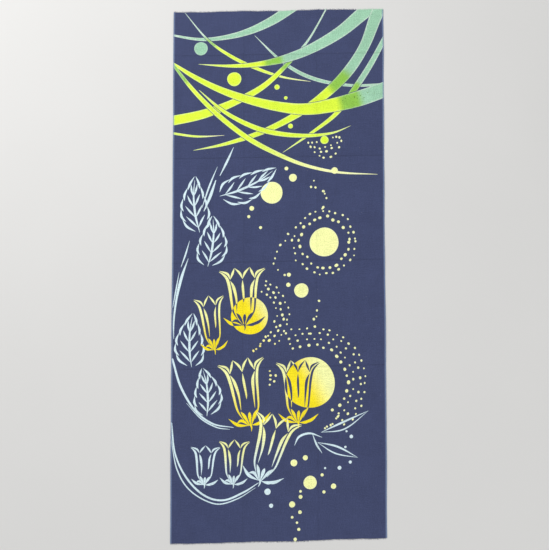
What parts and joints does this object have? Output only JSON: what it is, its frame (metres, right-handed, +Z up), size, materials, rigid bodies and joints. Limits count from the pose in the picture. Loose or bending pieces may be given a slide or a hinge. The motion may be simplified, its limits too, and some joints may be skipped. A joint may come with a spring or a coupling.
{
  "type": "dyed cotton hand towel",
  "caption": "Long thin plain-weave cotton hand towel, dyed navy with grass, bell flowers and glowing discs, that folds up along pressed creases.",
  "frame": {"origin": "middle of the cloth on its underside, which rests on a surface", "axes": "+X across the cloth to the right, +Y along it to the upper end, +Z up out of the face"},
  "size_m": [0.36, 0.9082, 0.0005],
  "materials": {
    "ground_cloth": "matte plain-weave cotton, navy dye with undyed and coloured motifs",
    "selvedge": "matte woven edge, lighter blue",
    "frayed_thread": "matte loose cotton thread"
  },
  "bodies": {
    "upper_end_panel": {"ground_cloth_1": "ground_cloth", "selvedge_left_1": "selvedge", "selvedge_right_1": "selvedge", "frayed_end_upper": "frayed_thread"},
    "upper_middle_panel": {"ground_cloth_2": "ground_cloth", "selvedge_left_2": "selvedge", "selvedge_right_2": "selvedge"},
    "middle_panel": {"ground_cloth_3": "ground_cloth", "selvedge_left_3": "selvedge", "selvedge_right_3": "selvedge"},
    "lower_middle_panel": {"ground_cloth_4": "ground_cloth", "selvedge_left_4": "selvedge", "selvedge_right_4": "selvedge"},
    "lower_end_panel": {"ground_cloth_5": "ground_cloth", "selvedge_left_5": "selvedge", "selvedge_right_5": "selvedge", "frayed_end_lower": "frayed_thread"}
  },
  "joints": [
    {"name": "crease_4", "type": "hinge", "parent": "lower_end_panel", "child": "lower_middle_panel", "pos_m": [0, -0.162, 0.00135], "axis": [0.9997, 0.0227, 0], "range_deg": [0, 179]},
    {"name": "crease_3", "type": "hinge", "parent": "lower_middle_panel", "child": "middle_panel", "pos_m": [0, 0.016, -0.00015], "axis": [0.9997, 0.0227, 0], "range_deg": [-179, 0]},
    {"name": "crease_2", "type": "hinge", "parent": "middle_panel", "child": "upper_middle_panel", "pos_m": [0, 0.194, 0.00135], "axis": [0.9997, 0.0227, 0], "range_deg": [0, 179]},
    {"name": "crease_1", "type": "hinge", "parent": "upper_middle_panel", "child": "upper_end_panel", "pos_m": [0, 0.372, -0.00015], "axis": [0.9997, 0.0227, 0], "range_deg": [-179, 0]}
  ],
  "couplings": [
    {"joint": "crease_3", "follows": "crease_4", "ratio": -1},
    {"joint": "crease_2", "follows": "crease_4", "ratio": 1},
    {"joint": "crease_1", "follows": "crease_4", "ratio": -1}
  ]
}
